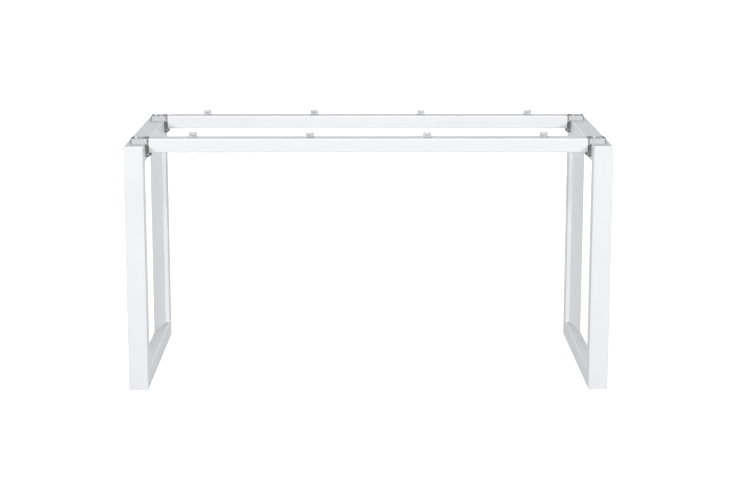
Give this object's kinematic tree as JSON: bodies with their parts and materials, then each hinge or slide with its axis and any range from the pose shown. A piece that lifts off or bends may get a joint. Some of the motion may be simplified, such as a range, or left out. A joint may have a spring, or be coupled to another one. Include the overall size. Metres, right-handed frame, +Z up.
{
  "type": "desk frame",
  "caption": "Desk frame of two closed mitred tube loops joined by a front and a rear box beam, with cast corner brackets and soft pads that carry the desk top.",
  "frame": {"origin": "on the floor under the middle of the frame's footprint", "axes": "+X to the right along the beams seen from the front, +Y towards the rear, +Z up"},
  "size_m": [1.36, 0.66, 0.73],
  "materials": {
    "white_powder_coat": "satin white powder coat with a fine orange peel",
    "cast_metal": "as-cast alloy, blasted to a fine matt grain",
    "black_steel": "black zinc",
    "zinc_steel": "bright zinc",
    "bronze_zinc_steel": "dull brownish zinc",
    "clear_rubber": "milky translucent soft plastic",
    "white_nylon": "plain moulded"
  },
  "bodies": {
    "root": {"arm_nuts_front_left": "zinc_steel", "arm_nuts_front_right": "zinc_steel", "arm_nuts_rear_left": "zinc_steel", "arm_nuts_rear_right": "zinc_steel", "arm_screws_front_left": "zinc_steel", "arm_screws_front_right": "zinc_steel", "arm_screws_rear_left": "zinc_steel", "arm_screws_rear_right": "zinc_steel", "bolt_nut_front_left": "zinc_steel", "bolt_nut_front_right": "zinc_steel", "bolt_nut_rear_left": "zinc_steel", "bolt_nut_rear_right": "zinc_steel", "bracket_bolt_front_left": "black_steel", "bracket_bolt_front_right": "black_steel", "bracket_bolt_rear_left": "black_steel", "bracket_bolt_rear_right": "black_steel", "bracket_front_left": "cast_metal", "bracket_front_right": "cast_metal", "bracket_rear_left": "cast_metal", "bracket_rear_right": "cast_metal", "front_beam": "white_powder_coat", "glide_front_left": "white_nylon", "glide_front_right": "white_nylon", "glide_rear_left": "white_nylon", "glide_rear_right": "white_nylon", "left_leg_bottom_bar": "white_powder_coat", "left_leg_front_post": "white_powder_coat", "left_leg_rear_post": "white_powder_coat", "left_leg_top_bar": "white_powder_coat", "pad_front_1": "clear_rubber", "pad_front_2": "clear_rubber", "pad_front_3": "clear_rubber", "pad_front_4": "clear_rubber", "pad_rear_1": "clear_rubber", "pad_rear_2": "clear_rubber", "pad_rear_3": "clear_rubber", "pad_rear_4": "clear_rubber", "pad_screw_front_1": "bronze_zinc_steel", "pad_screw_front_2": "bronze_zinc_steel", "pad_screw_front_3": "bronze_zinc_steel", "pad_screw_front_4": "bronze_zinc_steel", "pad_screw_rear_1": "bronze_zinc_steel", "pad_screw_rear_2": "bronze_zinc_steel", "pad_screw_rear_3": "bronze_zinc_steel", "pad_screw_rear_4": "bronze_zinc_steel", "rear_beam": "white_powder_coat", "right_leg_bottom_bar": "white_powder_coat", "right_leg_front_post": "white_powder_coat", "right_leg_rear_post": "white_powder_coat", "right_leg_top_bar": "white_powder_coat", "spigot_screw_front_left": "black_steel", "spigot_screw_front_right": "black_steel", "spigot_screw_rear_left": "black_steel", "spigot_screw_rear_right": "black_steel"}
  },
  "joints": []
}
